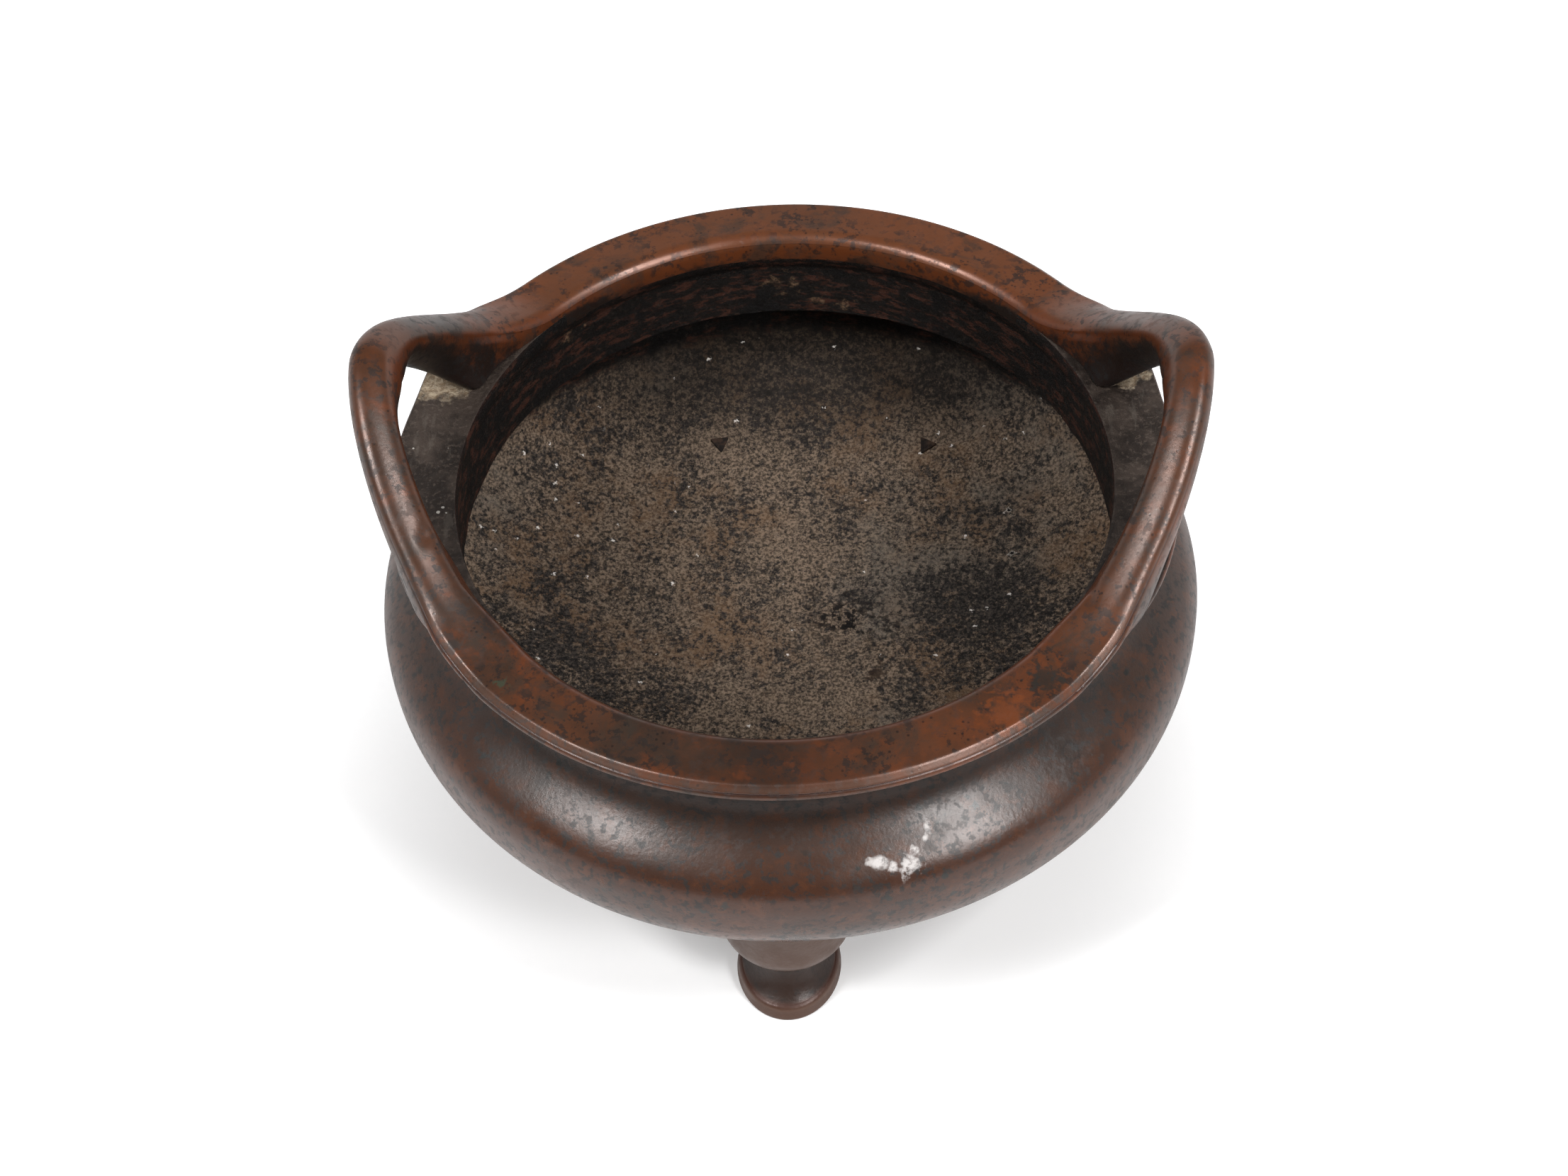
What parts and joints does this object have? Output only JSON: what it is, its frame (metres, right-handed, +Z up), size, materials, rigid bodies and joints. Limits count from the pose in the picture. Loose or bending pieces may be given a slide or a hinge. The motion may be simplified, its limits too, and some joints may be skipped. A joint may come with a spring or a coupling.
{
  "type": "tripod incense burner",
  "caption": "Squat round bronze incense burner: bulging bowl, drawn-in neck and thick mouth ring, loop handles rising from the rim and short hoof feet under the bowl.",
  "frame": {"origin": "on the standing surface, under the centre of the round vessel", "axes": "+Z up through the vessel's axis; the handles stand on +X and -X; the front foot points along -Y"},
  "size_m": [0.1326, 0.132, 0.0912],
  "materials": {
    "vessel": "dark brown patinated bronze, satin outside, matte taupe crust inside",
    "handle_right": "warm reddish-brown patinated bronze, rubbed on the crests",
    "handle_left": "warm reddish-brown patinated bronze, rubbed on the crests",
    "foot_front": "dark brown patinated bronze",
    "foot_rear_right": "dark brown patinated bronze",
    "foot_rear_left": "dark brown patinated bronze",
    "chaplet_left": "dark matte bronze",
    "chaplet_right": "dark matte bronze"
  },
  "bodies": {
    "root": {"vessel": "vessel", "handle_right": "handle_right", "handle_left": "handle_left", "foot_front": "foot_front", "foot_rear_right": "foot_rear_right", "foot_rear_left": "foot_rear_left", "chaplet_left": "chaplet_left", "chaplet_right": "chaplet_right"}
  },
  "joints": []
}
